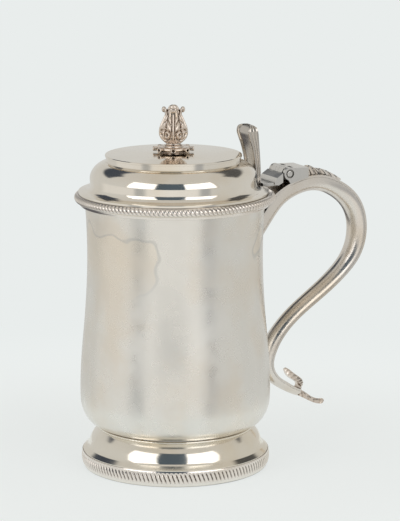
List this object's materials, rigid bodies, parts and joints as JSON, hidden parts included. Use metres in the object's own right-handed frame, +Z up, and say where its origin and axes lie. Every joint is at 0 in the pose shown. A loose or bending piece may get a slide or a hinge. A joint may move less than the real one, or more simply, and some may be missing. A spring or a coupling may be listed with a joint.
{
  "type": "tankard",
  "caption": "Lidded silver tankard: waisted body on a moulded foot, hollow scroll handle, and a domed lid with a bud finial on a knuckle hinge with a thumbpiece.",
  "frame": {"origin": "centre of the foot on the surface that the tankard stands on, on the vessel's own axis", "axes": "+Z up along the vessel's axis, +X towards the handle, +Y along the hinge pin"},
  "size_m": [0.188, 0.1206, 0.22],
  "materials": {
    "body_silver": "hand-finished silver sheet, soft polish with fine scratches",
    "moulding_silver": "cast and chased silver, darker in the hollows",
    "lid_silver": "polished silver sheet",
    "handle_silver": "polished silver sheet, worn by the hand",
    "hinge_silver": "filed and polished silver",
    "cast_silver": "cast and chased silver, warm tarnish in the hollows",
    "fastener_silver": "turned silver"
  },
  "bodies": {
    "vessel": {"vessel_body": "body_silver", "rim_moulding": "moulding_silver", "foot": "body_silver", "joint_wire": "moulding_silver", "foot_moulding": "moulding_silver", "foot_wire": "moulding_silver", "handle_back": "handle_silver", "handle_belly": "handle_silver", "handle_pad": "handle_silver", "leaf_cap": "cast_silver", "tail_leaf": "cast_silver", "tail_spur": "cast_silver", "hinge_plate": "hinge_silver", "hinge_pin": "hinge_silver"},
    "lid": {"lid_shell": "lid_silver", "lid_top": "lid_silver", "lid_bezel": "body_silver", "lid_hinge_lug": "hinge_silver", "thumbpiece": "cast_silver", "finial_calyx": "cast_silver", "finial_bud": "cast_silver", "finial_stud": "fastener_silver", "finial_washer": "fastener_silver", "finial_nut": "fastener_silver"}
  },
  "joints": [
    {"name": "lid_hinge", "type": "hinge", "parent": "vessel", "child": "lid", "pos_m": [0.0723, 0, 0.1746], "axis": [0, 1, 0], "range_deg": [0, 120]}
  ]
}
